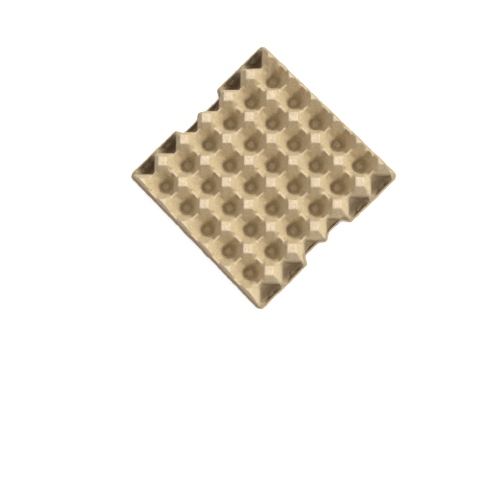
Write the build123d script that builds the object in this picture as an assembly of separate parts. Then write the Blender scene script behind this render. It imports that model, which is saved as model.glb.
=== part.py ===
"""Moulded pulp egg tray for thirty eggs, one thin shell of waste paper pulp.

Five columns of cups along X and six rows along Y.  Hollow square posts stand where four
cups meet, low saddles join the posts, and a flange runs round the foot of the tray.  Along
the two X edges lie half cups, and a finger notch narrows the middle of these edges.

The tray rests on the undersides of its cups.  The origin lies in that plane, in the middle
of the tray, with +Z up.  All lengths are in millimetres.
"""
import os
from math import atan2, cos, radians, tan

from build123d import *

# Lattice of cups and posts
CUPS_X = 5
CUPS_Y = 6
PITCH_X = 48.8
PITCH_Y = 48.0
OUTER_POST_INSET = 2.0

# Shell
WALL = 2.0
HEIGHT = 46.0

# Posts: square tops, turned so that each flat panel faces the middle of a cup
POST_TOP = 13.6
PANEL_DRAFT = 24.0

# Cups: a bowl of narrow flats with a small floor, into which an eight-sided mouth runs down.
# The bowl's radius is taken at its top, the mouth's inset from the post lines at its floor.
BOWL_SIDES = 12
UNDERSIDE_SIDES = 8
FLOOR_RADIUS = 6.0
FLOOR_DRAFT = 53.0
BOWL_TOP = 32.0
BOWL_RADIUS = 20.1
BOWL_DRAFT = 18.0
MOUTH_FLOOR = 8.0
MOUTH_INSET = 16.1
MOUTH_DRAFT = 36.0

# Saddles between the posts
SADDLE_HEIGHT = 27.5
SADDLE_WIDTH = 15.0
SADDLE_DRAFT = 19.4

# Edge: flange, skirt and the slope of the outer ridges
FLANGE_HEIGHT = 10.5
FLANGE_WIDTH = 5.0
SKIRT_DRAFT = 12.0
INNER_CORNER = 2.5
POCKET_DRAFT = 12.0
RIDGE_DRAFT = 28.0
EDGE_MARGIN_X = 6.6
EDGE_MARGIN_Y = 7.5
CORNER_RADIUS = 9.0

# Finger notches in the two X edges
NOTCH_DEPTH = 12.5
NOTCH_RUN = 7.0
NOTCH_END = 1.0
TONGUE_DEPTH = 6.2
TONGUE_WIDTH = 6.0
NOTCH_FILLET = 3.0

# Places worked out from the sizes above
OUTER_POST_X = CUPS_X / 2 * PITCH_X - OUTER_POST_INSET
EDGE_X = (CUPS_X + 1) / 2 * PITCH_X + EDGE_MARGIN_X
EDGE_Y = CUPS_Y / 2 * PITCH_Y + EDGE_MARGIN_Y
REACH = EDGE_X + EDGE_Y
DEEP = 5.0
FULL_ROWS = CUPS_Y // 2
QUARTER_TURN = Rot(0, 0, 90)


def lean(angle):
    """Sideways run for each millimetre of height on a wall with this draft."""
    return tan(radians(angle))


def shift(depth, angle):
    """Sideways shift of a drafted wall when its surface moves by the depth."""
    return depth / cos(radians(angle))


def turn_of(vertex):
    """Angle of a corner about the middle of its polygon."""
    return atan2(vertex.Y, vertex.X)


def post_x(i):
    """X of the post row that lies i pitches from the middle."""
    if abs(i) < CUPS_X / 2:
        return i * PITCH_X
    return OUTER_POST_X if i > 0 else -OUTER_POST_X


def box_between(x0, x1, y0, y1, z0, z1):
    """Box between two corners."""
    return Pos((x0 + x1) / 2, (y0 + y1) / 2, (z0 + z1) / 2) * Box(x1 - x0, y1 - y0, z1 - z0)


def funnel(radius, foot_z, draft, depth):
    """Funnel of flats that opens upward from this radius at its foot, lowered by the depth.

    The flats touch the round form from within on the upper skin and from outside on the lower
    one, so that the wall between them is nowhere thinner than it should be.
    """
    height = BOWL_TOP - foot_z
    foot = radius + shift(depth, draft) - depth * lean(draft)
    sides = UNDERSIDE_SIDES if depth else BOWL_SIDES
    rings = []
    for size, z in ((foot, foot_z - depth), (foot + height * lean(draft), BOWL_TOP - depth)):
        polygon = Rot(0, 0, 45 - 180 / sides) * RegularPolygon(size, sides, major_radius=not depth)
        rings.append([Vector(v.X, v.Y, z) for v in polygon.vertices().sort_by(turn_of)])
    lower, upper = rings
    flats = []
    for k in range(sides):
        flats.append(make_face(Polyline(lower[k - 1], lower[k], upper[k], upper[k - 1], close=True)))
    ends = [make_face(Polyline(*ring, close=True)) for ring in rings]
    return Solid(Shell(flats + ends))


def bowl_air(depth):
    """Lower part of a cup, for the surface that lies this depth under the upper one."""
    foot = BOWL_RADIUS - (BOWL_TOP - WALL) * lean(BOWL_DRAFT)
    wall = funnel(foot, WALL, BOWL_DRAFT, depth)
    return wall & funnel(FLOOR_RADIUS, WALL, FLOOR_DRAFT, depth)


def flared_bar(foot_width, foot_z, draft, depth):
    """Bar along X whose section is a trapezoid that opens upward, lowered by the depth."""
    z = foot_z - depth
    foot = foot_width / 2 + shift(depth, draft) - depth * lean(draft)
    top = foot + (HEIGHT + DEEP - z) * lean(draft)
    section = Polyline((-foot, z), (foot, z), (top, HEIGHT + DEEP), (-top, HEIGHT + DEEP), close=True)
    return extrude(make_face(Plane.YZ * section), amount=1.5 * PITCH_X, both=True)


def mouth_air(width_x, width_y, depth):
    """Upper part of a cup between four saddles, which opens upward."""
    along_x = flared_bar(width_y - 2 * MOUTH_INSET, MOUTH_FLOOR, MOUTH_DRAFT, depth)
    along_y = flared_bar(width_x - 2 * MOUTH_INSET, MOUTH_FLOOR, MOUTH_DRAFT, depth)
    return along_x & (QUARTER_TURN * along_y)


def post_block(depth):
    """Square post that tapers upward, from the floor of the mouth to above the top."""
    foot_z = MOUTH_FLOOR - depth
    half = POST_TOP / 2 + (HEIGHT - foot_z) * lean(PANEL_DRAFT) - shift(depth, PANEL_DRAFT)
    square = Plane.XY.offset(foot_z) * (Rot(0, 0, 45) * Rectangle(2 * half, 2 * half))
    return extrude(square, amount=HEIGHT + DEEP / 2 - foot_z, taper=PANEL_DRAFT)


def sharp_outline():
    """Flange edge of the tray, seen from above, with the finger notches and sharp corners."""
    notch_x = EDGE_X - NOTCH_DEPTH
    tongue_x = EDGE_X - TONGUE_DEPTH
    notch_start = PITCH_Y - NOTCH_END
    side = [
        (EDGE_X, EDGE_Y),
        (EDGE_X, notch_start),
        (notch_x, notch_start - NOTCH_RUN),
        (notch_x, TONGUE_WIDTH / 2 + NOTCH_RUN),
        (tongue_x, TONGUE_WIDTH / 2),
    ]
    right = side + [(x, -y) for x, y in reversed(side)]
    left = [(-x, -y) for x, y in right]
    return make_face(Polyline(*right, *left, close=True))


def rim_outline():
    """Flange edge of the tray, seen from above, with rounded corners."""
    face = sharp_outline()
    face = fillet([v for v in face.vertices() if abs(v.Y) < EDGE_Y - 1], NOTCH_FILLET)
    return fillet([v for v in face.vertices() if abs(v.Y) > EDGE_Y - 1], CORNER_RADIUS)


def tapered_inside(inset, height, draft):
    """Solid inside the flange edge, which narrows as it rises and has cut-off corners."""
    outline = offset(sharp_outline(), amount=-inset, kind=Kind.INTERSECTION)
    solid = extrude(outline, amount=height, taper=draft)
    corner_y = EDGE_Y - inset - height * lean(draft) - 1
    corners = [e for e in solid.edges() if abs(e.center().Y) > corner_y and abs(e.tangent_at(0.5).Z) > 0.5]
    return chamfer(corners, INNER_CORNER)


def raised_body(depth):
    """Everything inside the skirt, from below the tray to its top, narrowing upward."""
    flange_z = FLANGE_HEIGHT - depth
    inset = FLANGE_WIDTH + shift(depth, SKIRT_DRAFT)
    upper = Pos(0, 0, flange_z) * tapered_inside(inset, HEIGHT - depth - flange_z, SKIRT_DRAFT)
    top_x = OUTER_POST_X + POST_TOP / 2**0.5 - shift(depth, RIDGE_DRAFT)
    foot_x = top_x + (HEIGHT - flange_z) * lean(RIDGE_DRAFT)
    slope = Polyline(
        (foot_x, flange_z), (top_x, HEIGHT), (top_x, REACH), (REACH, REACH), (REACH, flange_z), close=True
    )
    outside = extrude(make_face(Plane.XZ * slope), amount=REACH, both=True)
    return upper - outside - mirror(outside, Plane.YZ)


def foot_body(depth):
    """Everything inside the flange edge below the flange's surface."""
    grown = offset(rim_outline(), amount=depth)
    return extrude(Plane.XY.offset(-DEEP) * grown, amount=FLANGE_HEIGHT - depth + DEEP)


def pocket_wall(depth):
    """Space inside the flange, to which the half cups are held below the flange."""
    flange_z = FLANGE_HEIGHT - depth
    rising = tapered_inside(FLANGE_WIDTH - shift(depth, POCKET_DRAFT), flange_z + DEEP, POCKET_DRAFT)
    return Pos(0, 0, flange_z) * mirror(rising, Plane.XY)


def cell_bounds(i, j):
    """Lines through the posts around the cup i pitches along X and j along Y."""
    x0 = post_x(i - 0.5)
    x1 = post_x(i + 0.5) if i <= CUPS_X // 2 else 2 * i * PITCH_X - x0
    return x0, x1, (j - 0.5) * PITCH_Y, (j + 0.5) * PITCH_Y


def cup_space(i, j, depth):
    """Inside of a cup: the bowl, and the mouth between the flat panels of its posts."""
    x0, x1, y0, y1 = cell_bounds(i, j)
    mouth = Pos((x0 + x1) / 2, (y0 + y1) / 2, 0) * mouth_air(x1 - x0, y1 - y0, depth)
    block = post_block(depth)
    for x in (x0, x1):
        for y in (y0, y1):
            mouth -= Pos(x, y, 0) * block
    return mouth + Pos(i * PITCH_X, j * PITCH_Y, 0) * bowl_air(depth)


def below_skin(i, j, depth, clip):
    """What lies under the surface at this depth, inside the cell's own clip box."""
    half_cup = i > CUPS_X // 2
    space = cup_space(i, j, depth)
    flange_z = FLANGE_HEIGHT - depth
    body = clip & box_between(-REACH, REACH, -REACH, REACH, -DEEP, HEIGHT - depth)
    if half_cup or j > FULL_ROWS - 1:
        body = (clip & RAISED[depth]) + (clip & FOOT[depth])
        low = box_between(-REACH, REACH, -REACH, REACH, -DEEP, flange_z)
        space = (space - low) + (space & POCKET[depth])
    body -= space
    x0, x1, y0, y1 = cell_bounds(i, j)
    middle = Pos((x0 + x1) / 2, (y0 + y1) / 2, 0)
    over_saddles = flared_bar(SADDLE_WIDTH, SADDLE_HEIGHT, SADDLE_DRAFT, depth)
    body -= middle * over_saddles
    if not half_cup:
        body -= middle * (QUARTER_TURN * over_saddles)
    return body


def cell(i, j):
    """Shell of one cell: what lies under the upper skin but not under the lower one."""
    x0, x1, y0, y1 = cell_bounds(i, j)
    if i > CUPS_X // 2:
        x1 = REACH
    if j > FULL_ROWS - 1:
        y1 = REACH
    clip = box_between(x0, x1, y0, y1, -DEEP, HEIGHT)
    return below_skin(i, j, 0.0, clip) - below_skin(i, j, WALL, clip)


RAISED = {depth: raised_body(depth) for depth in (0.0, WALL)}
FOOT = {depth: foot_body(depth) for depth in (0.0, WALL)}
POCKET = {depth: pocket_wall(depth) for depth in (0.0, WALL)}


def tray():
    """All cells of the tray, joined into one shell."""
    quarter = []
    for i in range(1, CUPS_X // 2 + 2):
        for row in range(FULL_ROWS):
            quarter.append(cell(i, row + 0.5))
    middle = [cell(0, row + 0.5) for row in range(FULL_ROWS)]
    right = quarter + [mirror(piece, Plane.XZ) for piece in quarter]
    cells = right + [mirror(piece, Plane.YZ) for piece in right]
    cells += middle + [mirror(piece, Plane.XZ) for piece in middle]
    return cells[0].fuse(*cells[1:]).clean()


if __name__ == "__main__":
    os.makedirs("parts", exist_ok=True)
    export_step(tray(), "parts/egg_tray.step")
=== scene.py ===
"""Looks of a moulded pulp egg tray for thirty eggs, which lies on a pale floor.

The tray is one closed shell between an upper and a lower skin. Both skins are heights worked out
on one grid of lines, which follow the rim at the edges. Sizes are in millimetres and are turned
to metres where a mesh is made. Drafts are in degrees from upright.
"""

import bpy
import numpy as np
from mathutils import Matrix, Vector


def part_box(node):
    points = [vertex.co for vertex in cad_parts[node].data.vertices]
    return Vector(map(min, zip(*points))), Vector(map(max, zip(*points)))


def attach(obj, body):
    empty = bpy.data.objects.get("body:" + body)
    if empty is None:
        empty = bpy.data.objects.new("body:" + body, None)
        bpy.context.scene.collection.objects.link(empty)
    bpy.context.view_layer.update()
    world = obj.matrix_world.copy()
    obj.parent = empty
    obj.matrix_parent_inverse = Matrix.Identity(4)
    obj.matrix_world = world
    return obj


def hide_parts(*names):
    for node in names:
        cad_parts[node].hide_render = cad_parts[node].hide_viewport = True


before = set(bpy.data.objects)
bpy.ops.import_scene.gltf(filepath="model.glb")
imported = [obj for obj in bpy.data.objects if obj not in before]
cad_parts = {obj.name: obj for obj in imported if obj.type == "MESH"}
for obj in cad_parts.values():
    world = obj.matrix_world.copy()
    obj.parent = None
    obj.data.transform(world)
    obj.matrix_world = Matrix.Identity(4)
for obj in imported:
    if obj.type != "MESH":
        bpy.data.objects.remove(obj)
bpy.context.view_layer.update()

MM = 0.001
SEED = 4127

# Stand-ins for a distance that never counts, and for zero
FAR = 1000.0
TINY = 1e-9

# Lattice of cups and posts
CUPS_X = 5
CUPS_Y = 6
PITCH_X = 48.8
PITCH_Y = 48.0
OUTER_POST_INSET = 2.0
WALL = 2.0

# Posts: side of the flat top and slope of the panels
POST_TOP = 13.6
PANEL_DRAFT = 24.0

# Cups: floor, bowl, and the mouth between the posts
FLOOR_RADIUS = 7.6
FLOOR_DRAFT = 53.0
BOWL_TOP = 32.0
BOWL_RADIUS = 19.8
BOWL_DRAFT = 18.0
HALF_BOWL_SIDE = 19.5
HALF_BOWL_DRAFT = 8.0
MOUTH_FLOOR = 8.0
MOUTH_INSET = 11.8
MOUTH_DRAFT = 36.0

# Raised pad in the middle of the cup floor, and the radius where the ring of painted shade round it starts
# to fade
PAD_RADIUS = 5.4
PAD_HEIGHT = 1.4
PAD_EDGE = 1.0
SHADE_RING_RADIUS = 8.0

# Saddles between the posts, and the bead on the crest of each one
SADDLE_HEIGHT = 27.5
SADDLE_WIDTH = 15.0
SADDLE_DRAFT = 19.4
BEAD_WIDTH = 2.5
BEAD_DRAFT = 12.0

# Edge: flange, skirt, pockets of the half cups and the slope of the outer ridges
FLANGE_HEIGHT = 10.5
FLANGE_WIDTH = 3.2
FLANGE_DROOP = 1.8
DROOP_POWER = 1.5
SKIRT_DRAFT = 12.0
POCKET_DRAFT = 12.0
RIDGE_DRAFT = 28.0
CORNER_RADIUS = 9.0

# Finger notches in the two X edges
NOTCH_DEPTH = 12.5
NOTCH_RUN = 7.0
NOTCH_END = 1.0
TONGUE_DEPTH = 6.2
TONGUE_WIDTH = 6.0

# Creases: the height difference, or at the rim and the corners the distance, over which each is rounded
NOTCH_CREASE = 2.0
NOTCH_END_CREASE = 3.0
POST_CORNER = 0.6
POST_FOOT_CREASE = 0.8
HALF_BOWL_CORNER = 3.0
BOWL_FOOT_CREASE = 1.2
FLOOR_CREASE = 0.6
BOWL_FLOOR_CREASE = 1.0
MOUTH_FOOT_CREASE = 2.0
MOUTH_CORNER_CREASE = 1.5
BEAD_CREASE = 0.2
BOWL_CREASE = 1.0
SADDLE_FOOT_CREASE = 1.5
SADDLE_CREASE = 0.4
POCKET_LIP_CREASE = 1.5
POCKET_CREASE = 1.2
RIDGE_CREASE = 2.5
OUTSIDE_CREASE = 2.0
TOP_CREASE = 1.6

# Size of the tray, as the frame has it
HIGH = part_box("egg_tray")[1]
EDGE_X = HIGH.x / MM
EDGE_Y = HIGH.y / MM
HEIGHT = HIGH.z / MM
OUTER_POST_X = CUPS_X / 2 * PITCH_X - OUTER_POST_INSET

# Grid lines: even ones inside, then lines that lead to the band, and close ones in the band
LINES_PER_PITCH = 40
EVEN_COLUMNS = 95
LEAD_LINES = 12
BAND_STEP = 0.6
BAND_LINES = 22

# Spacing of the points of the rim from which the lines in the band keep their distance
RIM_STEP = 0.25

# Angle in degrees from which an edge between two faces is drawn sharp
SHARP_ANGLE = 38.0

# Lumps: height, length and number of waves, spread of the lengths, and room for them under the top
BROAD_LUMPS = (0.20, 18.0, 24)
FINE_LUMPS = (0.07, 5.0, 48)
WAVE_SPREAD = (0.6, 1.6)
LUMP_ROOM = 0.3

# Ragged edge: how far it draws in, over what band, its mean share and its long and short waves
RAGGED_DEPTH = 1.3
RAGGED_BAND = 9.0
RAGGED_MEAN = 0.5
RAGGED_LONG = (0.3, 28.0, 16)
RAGGED_SHORT = (0.2, 7.0, 24)

# Pale tone of the crests, partly wear and partly painted highlight: its share, its side beyond the bead, its
# start and its reach in height
CREST_WEAR_AND_HIGHLIGHT = 0.9
CREST_SIDE = 0.9
CREST_START = 15.5
CREST_REACH = 2.0

# Painted shade, a dark tone that stands in for shade: heights where it starts and is full, and its share in
# each place
DEEP_TOP = SADDLE_HEIGHT - 5.0
DEEP_FLOOR = 6.0
CUP_RING_SHADE = 0.20
HALF_CUP_SHADE = 0.95
HALF_CUP_RIM_SHADE = 0.5
# Less painted shade in the half cups on the +X side, which the key lamp reaches
LIT_SIDE_SHADE_SHARE = 0.85
# Painted shade in the crease at the skirt's foot, and a painted shadow line at the rim
SKIRT_FOOT_SHADE = 0.45
FOOT_REACH = 1.5
DECKLE_SHADOW = 0.30
DECKLE_REACH = 1.4

# Colours of the pulp
PULP_DARKER = "#c9b692"
PULP_PALER = "#dfcfaa"
MOTTLE_COLOUR = "#bcaa86"
# Pale tone of the post tops and crests: partly wear where stacked trays rub, partly painted highlight
WEAR_AND_HIGHLIGHT_COLOUR = "#e6d3b5"
# Painted shade in the cups, the half cups and the creases along the rim
PAINTED_SHADE_COLOUR = "#452a14"
SPECK_COLOUR = "#6b5136"
FOLD_COLOUR = "#8d7250"

# Patterns of the pulp: size of its clouds, grain and wrinkles, spacing of its specks
CLOUD_SIZE = 16.67
GRAIN_SIZE = 3.333
WRINKLE_SIZE = 5.263
SPECK_SPACING = 6.667
WRINKLE_DEPTH = 1.6
GRAIN_DEPTH = 0.6

# Ranges over which a pattern's value turns into a share of a tone: from, to, least and most share
RANGE_SOCKETS = ("From Min", "From Max", "To Min", "To Max")
MOTTLE_RANGE = (0.35, 0.65, 0.0, 0.7)
TOP_WEAR_AND_HIGHLIGHT_RANGE = (44.0 * MM, 45.2 * MM, 0.0, 1.0)
SMUDGE_RANGE = (0.40, 0.58, 0.35, 1.0)
SPECK_RANGE = (0.13, 0.07, 0.0, 0.55)
FOLD_RANGE = (0.018, 0.005, 0.0, 0.35)
FOLD_PATCH_RANGE = (0.52, 0.62, 0.0, 1.0)

# Camera: its place and reach in metres, and the size of the image
CAMERA_PLACE = Vector((0.23466, -0.08330, 1.16445))
CAMERA_LOOK = Vector((-0.13943, -0.01014, -0.99018))
CAMERA_UP = Vector((-0.70854, 0.69956, 0.09261))
CAMERA_REACH = 20.0
FOCAL_PIXELS = 742.5
IMAGE_PIXELS = 500.0
SENSOR_MM = 36.0

# Floor: half its side, its colour, and the white glow that only the camera sees
FLOOR_HALF = 4000.0
FLOOR_COLOUR = "#e8e8e8"
FLOOR_LIFT = 0.65
WHITE = "#ffffff"

# World: its light on the tray; the camera sees it as white
WORLD_COLOUR = "#eef2ff"
WORLD_LIGHT = 0.30

# Lamps: direction to each one, its strength, its width in radians and its colour
LAMPS = {
    "key": ((0.48, 0.53, 0.70), 1.95, 0.14, "#fffcf6"),
    "side": ((-0.16, 0.80, 0.57), 1.35, 0.6, "#fffcf6"),
    "fill_above": ((-0.60, 0.16, 0.78), 0.25, 1.4, "#fff6f2"),
    "fill_left": ((-0.60, -0.50, 0.63), 0.45, 1.2, "#fff6f2"),
    "fill_below": ((0.70, -0.42, 0.57), 0.42, 1.0, "#ffeee8"),
}


def lean(angle):
    """Sideways run for each millimetre of height on a wall with this draft: its tangent."""
    return np.tan(np.radians(angle))


def shift(depth, angle):
    """Sideways shift of a drafted wall that moves by the depth square to itself."""
    return depth / np.cos(np.radians(angle))


def soft_max(a, b, width):
    """Larger of two heights, with the crease between them filled.

    Where they differ by less than the width, the two are mixed by the share of their difference,
    and the product of both shares, times the width, is added.
    """
    mix = np.clip(0.5 + 0.5 * (a - b) / width, 0.0, 1.0)
    return b + (a - b) * mix + width * mix * (1.0 - mix)


def soft_min(a, b, width):
    """Smaller of two heights, with the ridge between them rounded in the same way."""
    return -soft_max(-a, -b, width)


def rim_x(y):
    """X of the rim: straight, with a notch on each side of a tongue in the middle."""
    side = np.abs(y)
    notch_x = EDGE_X - NOTCH_DEPTH
    tongue_x = EDGE_X - TONGUE_DEPTH
    tongue = notch_x + (tongue_x - notch_x) / NOTCH_RUN * (TONGUE_WIDTH / 2 + NOTCH_RUN - side)
    far_side = notch_x + NOTCH_DEPTH / NOTCH_RUN * (side - (PITCH_Y - NOTCH_END - NOTCH_RUN))
    tongue = soft_min(tongue, tongue_x, NOTCH_CREASE)
    notch = soft_max(tongue, np.full_like(side, notch_x), NOTCH_CREASE)
    notch = soft_max(notch, far_side, NOTCH_END_CREASE)
    return np.minimum(soft_min(notch, np.full_like(side, EDGE_X), NOTCH_END_CREASE), EDGE_X)


def inset_x(y, inset):
    """X of the line that runs this far inside the rim: the least reach of circles round its points."""
    count = int(np.ceil(inset.max() / RIM_STEP))
    offsets = RIM_STEP * np.arange(-count, count + 1)
    reach = np.sqrt(np.clip(inset[:, None] ** 2 - offsets**2, 0.0, None))
    reach = np.where(np.abs(offsets) <= inset[:, None] + TINY, reach, -FAR)
    points = rim_x(y[:, None] + offsets)
    return (points[:, None, :] - reach[None, :, :]).min(2)


def quarter_grid():
    """Grid corners of the quarter with positive X and Y, and their distance from the rim.

    In the corner, lines at one distance from both edges become one arc at this distance.
    """
    insets = BAND_STEP * np.arange(BAND_LINES, -1, -1)
    columns = PITCH_X / LINES_PER_PITCH * np.arange(EVEN_COLUMNS + 1)
    rows = np.arange(0.0, EDGE_Y - insets[0], PITCH_Y / LINES_PER_PITCH)
    inner_rows = len(rows)
    rows = np.append(rows, EDGE_Y - insets)
    edge = inset_x(np.minimum(rows, EDGE_Y - insets[0]), insets)
    lead = np.arange(1, LEAD_LINES) / LEAD_LINES
    x_lead = columns[-1] + lead * (edge[:, :1] - columns[-1])
    x = np.hstack([np.repeat(columns[None], len(rows), 0), x_lead, edge])
    y = np.repeat(rows[:, None], x.shape[1], 1)
    from_x = np.full(x.shape, insets[0])
    from_x[:, -len(insets):] = insets
    from_y = np.full(x.shape, insets[0])
    from_y[inner_rows:] = insets[:, None]
    out_x = 1.0 - from_x / CORNER_RADIUS
    out_y = 1.0 - from_y / CORNER_RADIUS
    ring = np.maximum(out_x, out_y)
    angle = np.pi / 4 * np.minimum(out_x, out_y) / np.maximum(ring, TINY)
    angle = np.where(out_x >= out_y, angle, np.pi / 2 - angle)
    corner = (out_x > TINY) & (out_y > TINY)
    radius = ring * CORNER_RADIUS
    x = np.where(corner, EDGE_X - CORNER_RADIUS + radius * np.cos(angle), x)
    y = np.where(corner, EDGE_Y - CORNER_RADIUS + radius * np.sin(angle), y)
    return x, y, np.minimum(from_x, from_y)


def whole_grid():
    """The quarter's grid mirrored to the whole tray."""
    x, y, inset = quarter_grid()
    x = np.hstack([-x[:, :0:-1], x])
    y = np.hstack([y[:, :0:-1], y])
    inset = np.hstack([inset[:, :0:-1], inset])
    x = np.vstack([x[:0:-1], x])
    y = np.vstack([-y[:0:-1], y])
    inset = np.vstack([inset[:0:-1], inset])
    return x, y, inset


def cell_places(x, y):
    """Place of each point in its cell: the post lines on both sides in X and Y, and its cup's middle."""
    post_lines = (np.arange(CUPS_X + 1) - CUPS_X / 2) * PITCH_X
    post_lines[0] += OUTER_POST_INSET
    post_lines[-1] -= OUTER_POST_INSET
    column = np.digitize(x, post_lines)
    far_line = (CUPS_X + 1) * PITCH_X - OUTER_POST_X
    lines = np.concatenate([[-far_line], post_lines, [far_line]])
    x0, x1 = lines[column], lines[column + 1]
    cup_x = (column - (CUPS_X + 1) / 2) * PITCH_X
    row = np.clip(np.floor(y / PITCH_Y), -CUPS_Y / 2, CUPS_Y / 2 - 1)
    y0 = row * PITCH_Y
    return x0, x1, y0, y0 + PITCH_Y, cup_x, y0 + PITCH_Y / 2


def flared(distance, half_width, foot_z, draft, depth, crease):
    """Height of a channel with a flat foot: beyond the foot it rises by the distance over the lean."""
    foot = half_width + shift(depth, draft) - depth * lean(draft)
    wall = foot_z - depth + (distance - foot) / lean(draft)
    return soft_max(wall, np.full_like(wall, foot_z - depth), crease)


def post_height(dx, dy, depth):
    """Height round a post turned by 45 degrees: its top, less the distance beyond it over the lean."""
    along = np.abs(dx + dy) / 2**0.5
    across = np.abs(dy - dx) / 2**0.5
    side = soft_max(along, across, POST_CORNER)
    return HEIGHT + (POST_TOP / 2 - shift(depth, PANEL_DRAFT) - side) / lean(PANEL_DRAFT)


def bowl_height(dx, dy, half_cell, depth):
    """Height of a bowl round its middle: round in a whole cup, a square on its corner in a half cup.

    It is the higher of a steep wall and a flat cone round the floor, with the pad on top, which
    fades out over its edge by three squares less two cubes of the share.
    """
    radius = np.hypot(dx, dy)
    side = soft_max(np.abs(dx + dy), np.abs(dx - dy), HALF_BOWL_CORNER) / 2**0.5
    foot = BOWL_RADIUS - (BOWL_TOP - WALL) * lean(BOWL_DRAFT)
    half_foot = HALF_BOWL_SIDE - (BOWL_TOP - WALL) * lean(HALF_BOWL_DRAFT)
    wall = np.where(
        half_cell,
        flared(side, half_foot, WALL, HALF_BOWL_DRAFT, depth, BOWL_FOOT_CREASE),
        flared(radius, foot, WALL, BOWL_DRAFT, depth, BOWL_FOOT_CREASE),
    )
    floor = flared(radius, FLOOR_RADIUS, WALL, FLOOR_DRAFT, depth, FLOOR_CREASE)
    pad = np.clip((PAD_RADIUS + PAD_EDGE / 2 - radius) / PAD_EDGE, 0.0, 1.0)
    return soft_max(wall, floor, BOWL_FLOOR_CREASE) + PAD_HEIGHT * pad * pad * (3.0 - 2.0 * pad)


def cell_height(x, y, depth):
    """Height inside a cell: the lower of the mouth with its posts and of the bowl, cut by the saddles."""
    x0, x1, y0, y1, cup_x, cup_y = cell_places(x, y)
    from_x = np.abs(x - (x0 + x1) / 2)
    from_y = np.abs(y - (y0 + y1) / 2)
    sides = ((from_x, (x1 - x0) / 2), (from_y, (y1 - y0) / 2))
    mouth_x, mouth_y = (
        flared(distance, half - MOUTH_INSET, MOUTH_FLOOR, MOUTH_DRAFT, depth, MOUTH_FOOT_CREASE)
        for distance, half in sides
    )
    posts = [post_height(x - post_x, y - post_y, depth) for post_x in (x0, x1) for post_y in (y0, y1)]
    mouth = soft_max(mouth_x, mouth_y, MOUTH_CORNER_CREASE)
    mouth = soft_max(mouth, np.maximum.reduce(posts), POST_FOOT_CREASE)
    bowl = bowl_height(x - cup_x, y - cup_y, np.abs(cup_x) > CUPS_X / 2 * PITCH_X, depth)
    for distance, half in sides:
        bead = SADDLE_HEIGHT - depth + (distance - half + BEAD_WIDTH / 2) / lean(BEAD_DRAFT)
        bead = bead - shift(depth, BEAD_DRAFT) / lean(BEAD_DRAFT)
        mouth = soft_max(mouth, bead, BEAD_CREASE)
        bowl = soft_max(bowl, bead, BEAD_CREASE)
    inside = soft_min(mouth, bowl, BOWL_CREASE)
    for distance in (from_x, from_y):
        saddle = flared(distance, SADDLE_WIDTH / 2, SADDLE_HEIGHT, SADDLE_DRAFT, depth, SADDLE_FOOT_CREASE)
        inside = soft_min(inside, saddle, SADDLE_CREASE)
    return inside


def pocket_height(inset, flange_z, depth):
    """Height of a half cup's outer wall: the flange, less the distance inside its lip over the lean."""
    lip = FLANGE_WIDTH - shift(depth, POCKET_DRAFT)
    pocket = flange_z - (inset - lip) / lean(POCKET_DRAFT)
    return soft_min(pocket, flange_z, POCKET_LIP_CREASE)


def outside_height(x, inset, flange_z, depth):
    """Height of the outside: the lowest of skirt, outer ridge and top, but never under the flange."""
    skirt = flange_z + (inset - FLANGE_WIDTH - shift(depth, SKIRT_DRAFT)) / lean(SKIRT_DRAFT)
    ridge_x = OUTER_POST_X + POST_TOP / 2**0.5 - shift(depth, RIDGE_DRAFT)
    ridge = HEIGHT - (np.abs(x) - ridge_x) / lean(RIDGE_DRAFT)
    outside = soft_min(skirt, ridge, RIDGE_CREASE)
    outside = soft_min(outside, np.full_like(x, HEIGHT - depth), OUTSIDE_CREASE)
    return soft_max(outside, flange_z, OUTSIDE_CREASE)


def skin_height(x, y, inset, depth):
    """Height of the skin that lies this depth under the upper one.

    It is the lowest of the cell or pocket, the outside and the top. The flange droops toward the
    rim by a power of the share of its width.
    """
    outer = np.clip(1.0 - inset / FLANGE_WIDTH, 0.0, 1.0)
    flange_z = FLANGE_HEIGHT - depth - FLANGE_DROOP * outer**DROOP_POWER
    inside = soft_max(cell_height(x, y, depth), pocket_height(inset, flange_z, depth), POCKET_CREASE)
    outside = outside_height(x, inset, flange_z, depth)
    top = np.full_like(x, HEIGHT - depth)
    return soft_min(soft_min(inside, outside, TOP_CREASE), top, TOP_CREASE)


def crest_wear_and_highlight(x, y, z):
    """Share of the pale tone, partly wear and partly painted highlight: on the bead, away from the posts and
    near the height of the saddles.
    """
    x0, x1, y0, y1 = cell_places(x, y)[:4]
    from_x_line = np.minimum(x - x0, x1 - x)
    from_y_line = np.minimum(y - y0, y1 - y)
    crest = np.clip(CREST_SIDE + BEAD_WIDTH / 2 - np.minimum(from_x_line, from_y_line), 0.0, 1.0)
    crest *= np.clip(np.maximum(from_x_line, from_y_line) - CREST_START, 0.0, 1.0)
    return crest * (CREST_WEAR_AND_HIGHLIGHT * np.clip(CREST_REACH - np.abs(z - SADDLE_HEIGHT), 0.0, 1.0))


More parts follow.
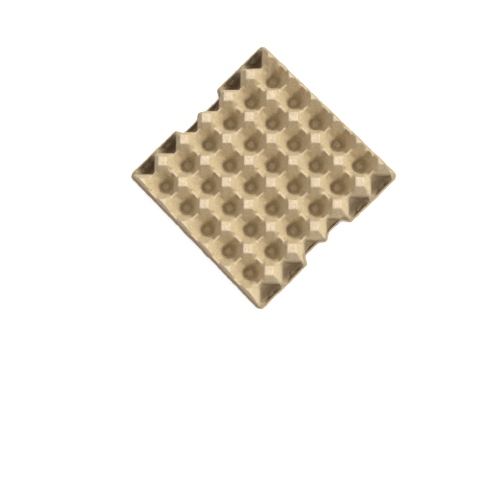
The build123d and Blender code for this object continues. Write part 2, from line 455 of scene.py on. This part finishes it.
def painted_shade_tone(x, y, z, inset):
    """Share of painted shade, a dark tone: in a ring on the cup floors, in the half cups, and along the rim.

    It grows with depth under its top height, and is weaker in the half cups on the +X side, where the
    key lamp reaches. The ring fades out from its radius to twice that. On the flange there is one line
    of painted shade in the crease at the skirt's foot and one of painted shadow at the rim, fading to
    both sides.
    """
    cup_x, cup_y = cell_places(x, y)[4:]
    deep = np.clip((DEEP_TOP - z) / (DEEP_TOP - DEEP_FLOOR), 0.0, 1.0)
    radius = np.hypot(x - cup_x, y - cup_y)
    ring = np.clip(radius - PAD_RADIUS, 0.0, 1.0) * np.clip(2.0 - radius / SHADE_RING_RADIUS, 0.0, 1.0)
    inner = np.clip((inset - FLANGE_WIDTH) / MOUTH_INSET, 0.0, 1.0)
    half_cup_shade = HALF_CUP_RIM_SHADE + (HALF_CUP_SHADE - HALF_CUP_RIM_SHADE) * inner
    half_cup_shade *= np.where(cup_x > 0, LIT_SIDE_SHADE_SHARE, 1.0)
    whole = np.abs(cup_x) < CUPS_X / 2 * PITCH_X
    dark = deep * np.where(whole, CUP_RING_SHADE * ring, half_cup_shade)
    foot = SKIRT_FOOT_SHADE * np.clip(FOOT_REACH - np.abs(inset - FLANGE_WIDTH), 0.0, 1.0)
    rim_shadow = DECKLE_SHADOW * np.clip(DECKLE_REACH - inset, 0.0, 1.0)
    return np.where(inset < FLANGE_WIDTH + FOOT_REACH, np.maximum(foot, rim_shadow), dark)


def lumps(points, height, wavelength, count, seed):
    """Smooth random heights about as high as the height: a sum of plane waves near this length."""
    rng = np.random.default_rng(seed)
    direction = rng.normal(size=(count, 3))
    direction /= np.linalg.norm(direction, axis=1)[:, None]
    waves = direction * (2 * np.pi / (wavelength * rng.uniform(*WAVE_SPREAD, count)))[:, None]
    phase = rng.uniform(0, 2 * np.pi, count)
    total = np.zeros(len(points))
    for wave, start in zip(waves, phase):
        total += np.sin(points @ wave + start)
    return height * (total / count**0.5)


def ragged_rim(points, inset):
    """Factor that draws points near the rim inward a little, as the edge of moulded pulp is ragged.

    It is one, less the ragged depth times a wave and the nearness to the rim, over the distance
    from the tray's middle.
    """
    flat = points * np.array([1.0, 1.0, 0.0])
    wave = RAGGED_MEAN + lumps(flat, *RAGGED_LONG, SEED + 2) + lumps(flat, *RAGGED_SHORT, SEED + 3)
    near_rim = np.clip(1.0 - inset / RAGGED_BAND, 0.0, 1.0)
    from_middle = np.hypot(points[:, 0], points[:, 1]).clip(EDGE_Y)
    return 1.0 - RAGGED_DEPTH * np.clip(wave, 0.0, 1.0) * near_rim / from_middle


def ring_of(shape):
    """Indices of a grid's border, once round, anticlockwise from its first corner."""
    index = np.arange(shape[0] * shape[1]).reshape(shape)
    return np.concatenate([index[0, :-1], index[:-1, -1], index[-1, :0:-1], index[:0:-1, 0]])


def grid_faces(shape):
    """Quads between the corners of a grid, facing up."""
    index = np.arange(shape[0] * shape[1]).reshape(shape)
    quads = [index[:-1, :-1], index[:-1, 1:], index[1:, 1:], index[1:, :-1]]
    return np.stack([q.ravel() for q in quads], 1)


def edge_faces(upper_ring, lower_ring, strip_start, lower_start):
    """Faces of the edge: quads down to a strip of points, then fans to the lower skin's border.

    The lower skin has every second line of the grid, so three triangles span two strip points.
    """
    strip = strip_start + np.arange(len(upper_ring))
    quads = np.stack([upper_ring, strip, np.roll(strip, -1), np.roll(upper_ring, -1)], 1)
    coarse = lower_start + lower_ring
    following = np.roll(coarse, -1)
    near, middle, far = strip[::2], strip[1::2], np.roll(strip[::2], -1)
    fans = [
        np.stack([near, coarse, middle], 1),
        np.stack([middle, coarse, following], 1),
        np.stack([middle, following, far], 1),
    ]
    return quads, fans


def make_mesh(name, points, faces):
    """Mesh object from points in millimetres and faces of three or four corners."""
    corners = np.concatenate([f.ravel() for f in faces])
    sizes = np.concatenate([np.full(len(f), f.shape[1]) for f in faces])
    starts = np.concatenate([[0], np.cumsum(sizes)[:-1]])
    mesh = bpy.data.meshes.new(name)
    mesh.vertices.add(len(points))
    mesh.vertices.foreach_set("co", (points * MM).ravel())
    mesh.loops.add(len(corners))
    mesh.loops.foreach_set("vertex_index", corners)
    mesh.polygons.add(len(sizes))
    mesh.polygons.foreach_set("loop_start", starts)
    mesh.polygons.foreach_set("loop_total", sizes)
    mesh.update(calc_edges=True)
    mesh.validate()
    mesh.shade_smooth()
    mesh.set_sharp_from_angle(angle=np.radians(SHARP_ANGLE))
    item = bpy.data.objects.new(name, mesh)
    bpy.context.scene.collection.objects.link(item)
    return item


def tray_mesh():
    """Both skins and the edge between them, as one closed shell, with its tones as attributes: a pale one
    that is partly painted highlight, and one of painted shade.
    """
    x, y, inset = whole_grid()
    x2, y2, inset2 = x[::2, ::2], y[::2, ::2], inset[::2, ::2]
    upper = np.stack([x, y, skin_height(x, y, inset, 0.0)], -1)
    lower = np.stack([x2, y2, skin_height(x2, y2, inset2, WALL)], -1)
    # The crest tone is partly wear and partly painted highlight; the dark tone is painted shade
    tones = {"crest": crest_wear_and_highlight(x, y, upper[..., 2]), "dark": painted_shade_tone(x, y, upper[..., 2], inset)}
    upper, lower = upper.reshape(-1, 3), lower.reshape(-1, 3)
    for skin, skin_inset in ((upper, inset), (lower, inset2)):
        skin[:, :2] *= ragged_rim(skin, skin_inset.ravel())[:, None]
    upper[:, 2] += lumps(upper, *BROAD_LUMPS, SEED) + lumps(upper, *FINE_LUMPS, SEED + 1) - LUMP_ROOM
    upper[:, 2] = np.minimum(upper[:, 2], HEIGHT)
    upper_ring, lower_ring = ring_of(x.shape), ring_of(x2.shape)
    edge = upper[upper_ring] - np.array([0, 0, WALL / 2])
    points = np.vstack([upper, edge, lower])
    lower_start = len(upper) + len(edge)
    quads, fans = edge_faces(upper_ring, lower_ring, len(upper), lower_start)
    underside = grid_faces(x2.shape)[:, ::-1] + lower_start
    item = make_mesh("tray_shell", points, [grid_faces(x.shape), quads, underside, *fans])
    for name, share in tones.items():
        values = np.zeros(len(points))
        values[:share.size] = share.ravel()
        item.data.attributes.new(name, "FLOAT", "POINT").data.foreach_set("value", values)
    return item


def linear(code):
    """Linear colour with full alpha from an sRGB hex value."""
    parts = [int(code[k : k + 2], 16) / 255 for k in (1, 3, 5)]
    return [p / 12.92 if p <= 0.04045 else ((p + 0.055) / 1.055) ** 2.4 for p in parts] + [1.0]


def add(tree, kind, inputs=None, links=None, **settings):
    """Adds a node, with its settings, the values of its sockets and links into them."""
    node = tree.nodes.new("ShaderNode" + kind)
    for name, value in settings.items():
        setattr(node, name, value)
    for name, value in (inputs or {}).items():
        node.inputs[name].default_value = value
    for name, source in (links or {}).items():
        tree.links.new(source, node.inputs[name])
    return node


def new_material(name):
    """Empty material, its node tree and its output node."""
    material = bpy.data.materials.new(name)
    material.use_nodes = True
    tree = material.node_tree
    tree.nodes.clear()
    return material, tree, add(tree, "OutputMaterial")


def pulp_patterns(tree):
    """Patterns of the pulp, each as one socket that gives its value at each point.

    A noise has one feature per unit of its scale, so the scale is one over the feature's size in
    metres. The real grain is finer: it is drawn as coarse as it needs to show. A fold runs where
    the wrinkles pass their middle value, so its distance is how far they are from that.
    """
    place = add(tree, "TexCoord").outputs["Object"]
    noises = {
        "cloud": (CLOUD_SIZE, {"Detail": 4.0, "Roughness": 0.6}),
        "grain": (GRAIN_SIZE, {"Detail": 4.0, "Roughness": 0.65}),
        "wrinkle": (WRINKLE_SIZE, {"Detail": 2.5, "Distortion": 1.5}),
    }
    patterns = {
        name: add(tree, "TexNoise", {"Scale": 1 / (size * MM), **inputs}, {"Vector": place}).outputs["Fac"]
        for name, (size, inputs) in noises.items()
    }
    flake = add(tree, "TexVoronoi", {"Scale": 1 / (SPECK_SPACING * MM)}, {"Vector": place})
    height = add(tree, "SeparateXYZ", {}, {"Vector": place})
    from_middle = add(tree, "Math", {1: 0.5}, {0: patterns["wrinkle"]}, operation="SUBTRACT")
    from_fold = add(tree, "Math", {}, {0: from_middle.outputs["Value"]}, operation="ABSOLUTE")
    patterns["from_flake"] = flake.outputs["Distance"]
    patterns["height"] = height.outputs["Z"]
    patterns["from_fold"] = from_fold.outputs["Value"]
    return patterns


def pulp_shares(tree, patterns):
    """Share of each tone, as one socket: the value of its pattern over its range, or an attribute."""
    ranges = {
        "mottle": (MOTTLE_RANGE, "grain"),
        "top": (TOP_WEAR_AND_HIGHLIGHT_RANGE, "height"),
        "smudge": (SMUDGE_RANGE, "wrinkle"),
        "speck": (SPECK_RANGE, "from_flake"),
        "fold": (FOLD_RANGE, "from_fold"),
        "fold_patch": (FOLD_PATCH_RANGE, "cloud"),
    }
    shares = {
        name: add(
            tree, "MapRange", dict(zip(RANGE_SOCKETS, span)), {"Value": patterns[pattern]},
        ).outputs["Result"]
        for name, (span, pattern) in ranges.items()
    }
    for name in ("crest", "dark"):
        shares[name] = add(tree, "Attribute", attribute_name=name).outputs["Fac"]
    return shares


def moulded_pulp():
    """Waste paper pulp, drawn on a wire screen and dried: rough, matt, mottled by its fibres.

    The eye sees a warm grey tan in clouds, dark specks, folds where the wet sheet was stretched,
    and paler post tops and crests, partly where stacked trays rub and partly as painted highlight.
    The shade in the cups, the half cups and the rim's creases is painted in as a dark tone. There
    is hardly any sheen.
    """
    material, tree, output = new_material("moulded_waste_paper_pulp")
    patterns = pulp_patterns(tree)
    shares = pulp_shares(tree, patterns)
    # Paler post tops and crests: partly wear, partly painted highlight
    wear_and_highlight = add(tree, "Math", {}, {0: shares["top"], 1: shares["crest"]}, operation="MAXIMUM")
    patchy_wear_and_highlight = add(
        tree, "Math", {}, {0: wear_and_highlight.outputs["Value"], 1: shares["smudge"]}, operation="MULTIPLY",
    )
    folded = add(tree, "Math", {}, {0: shares["fold"], 1: shares["fold_patch"]}, operation="MULTIPLY")
    layers = (
        (MOTTLE_COLOUR, shares["mottle"]),
        (WEAR_AND_HIGHLIGHT_COLOUR, patchy_wear_and_highlight.outputs["Value"]),
        # Painted shade in the cups, the half cups and the creases along the rim
        (PAINTED_SHADE_COLOUR, shares["dark"]),
        (SPECK_COLOUR, shares["speck"]),
        (FOLD_COLOUR, folded.outputs["Value"]),
    )
    colour = add(
        tree, "Mix", {6: linear(PULP_DARKER), 7: linear(PULP_PALER)},
        {"Factor": patterns["cloud"]}, data_type="RGBA",
    )
    for code, share in layers:
        colour = add(
            tree, "Mix", {7: linear(code)}, {"Factor": share, 6: colour.outputs[2]}, data_type="RGBA",
        )
    wrinkles = add(
        tree, "Bump", {"Strength": 0.8, "Distance": WRINKLE_DEPTH * MM}, {"Height": patterns["wrinkle"]},
    )
    grain = add(
        tree, "Bump", {"Strength": 0.3, "Distance": GRAIN_DEPTH * MM},
        {"Height": patterns["grain"], "Normal": wrinkles.outputs["Normal"]},
    )
    shader = add(
        tree, "BsdfPrincipled", {"Roughness": 0.92, "Specular IOR Level": 0.25},
        {"Base Color": colour.outputs[2], "Normal": grain.outputs["Normal"]},
    )
    tree.links.new(shader.outputs["BSDF"], output.inputs["Surface"])
    return material


def pale_floor():
    """Matt white studio floor, which the camera sees a little brighter than it lights the tray."""
    material, tree, output = new_material("matt_white_floor")
    camera_ray = add(tree, "LightPath").outputs["Is Camera Ray"]
    lift = add(tree, "Math", {1: FLOOR_LIFT}, {0: camera_ray}, operation="MULTIPLY")
    shader = add(
        tree, "BsdfPrincipled",
        {"Base Color": linear(FLOOR_COLOUR), "Roughness": 1.0, "Specular IOR Level": 0.0,
         "Emission Color": linear(WHITE)},
        {"Emission Strength": lift.outputs[0]},
    )
    tree.links.new(shader.outputs["BSDF"], output.inputs["Surface"])
    return material


def studio_floor():
    """Flat square floor under the tray, wide enough to fill the picture."""
    corners = FLOOR_HALF * np.array([[-1.0, -1.0, 0.0], [1.0, -1.0, 0.0], [1.0, 1.0, 0.0], [-1.0, 1.0, 0.0]])
    floor = make_mesh("floor", corners, [np.array([[0, 1, 2, 3]])])
    floor.data.materials.append(pale_floor())


def studio_world():
    """World that lights the tray a little, and is white to the camera."""
    world = bpy.data.worlds.new("studio")
    bpy.context.scene.world = world
    world.use_nodes = True
    tree = world.node_tree
    background = tree.nodes["Background"]
    camera_ray = add(tree, "LightPath").outputs["Is Camera Ray"]
    colour = add(
        tree, "Mix", {6: linear(WORLD_COLOUR), 7: linear(WHITE)}, {"Factor": camera_ray}, data_type="RGBA",
    )
    strength = add(tree, "MapRange", {"To Min": WORLD_LIGHT}, {"Value": camera_ray})
    tree.links.new(colour.outputs[2], background.inputs["Color"])
    tree.links.new(strength.outputs["Result"], background.inputs["Strength"])


def studio_lamps():
    """A narrow key lamp, a broad one from the side, and three wide and weak ones that fill."""
    for name, (toward, energy, angle, colour) in LAMPS.items():
        lamp = bpy.data.lights.new(name, "SUN")
        lamp.energy = energy
        lamp.color = linear(colour)[:3]
        lamp.angle = angle
        item = bpy.data.objects.new(name, lamp)
        bpy.context.scene.collection.objects.link(item)
        item.rotation_euler = Vector(toward).to_track_quat("Z", "Y").to_euler()


def camera_above():
    """Camera that looks down on the tray, turned so that the tray is a diamond in the picture."""
    data = bpy.data.cameras.new("camera")
    data.sensor_width = SENSOR_MM
    data.lens = FOCAL_PIXELS / IMAGE_PIXELS * SENSOR_MM
    data.clip_end = CAMERA_REACH
    back = -CAMERA_LOOK.normalized()
    right = CAMERA_UP.cross(back).normalized()
    up = back.cross(right)
    turn = Matrix((right, up, back)).transposed().to_4x4()
    camera = bpy.data.objects.new("camera", data)
    camera.matrix_world = Matrix.Translation(CAMERA_PLACE) @ turn
    bpy.context.scene.collection.objects.link(camera)
    bpy.context.scene.camera = camera


bpy.context.scene.view_settings.view_transform = "Standard"
tray = tray_mesh()
tray.data.materials.append(moulded_pulp())
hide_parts("egg_tray")
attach(tray, "root")
studio_floor()
studio_world()
studio_lamps()
camera_above()
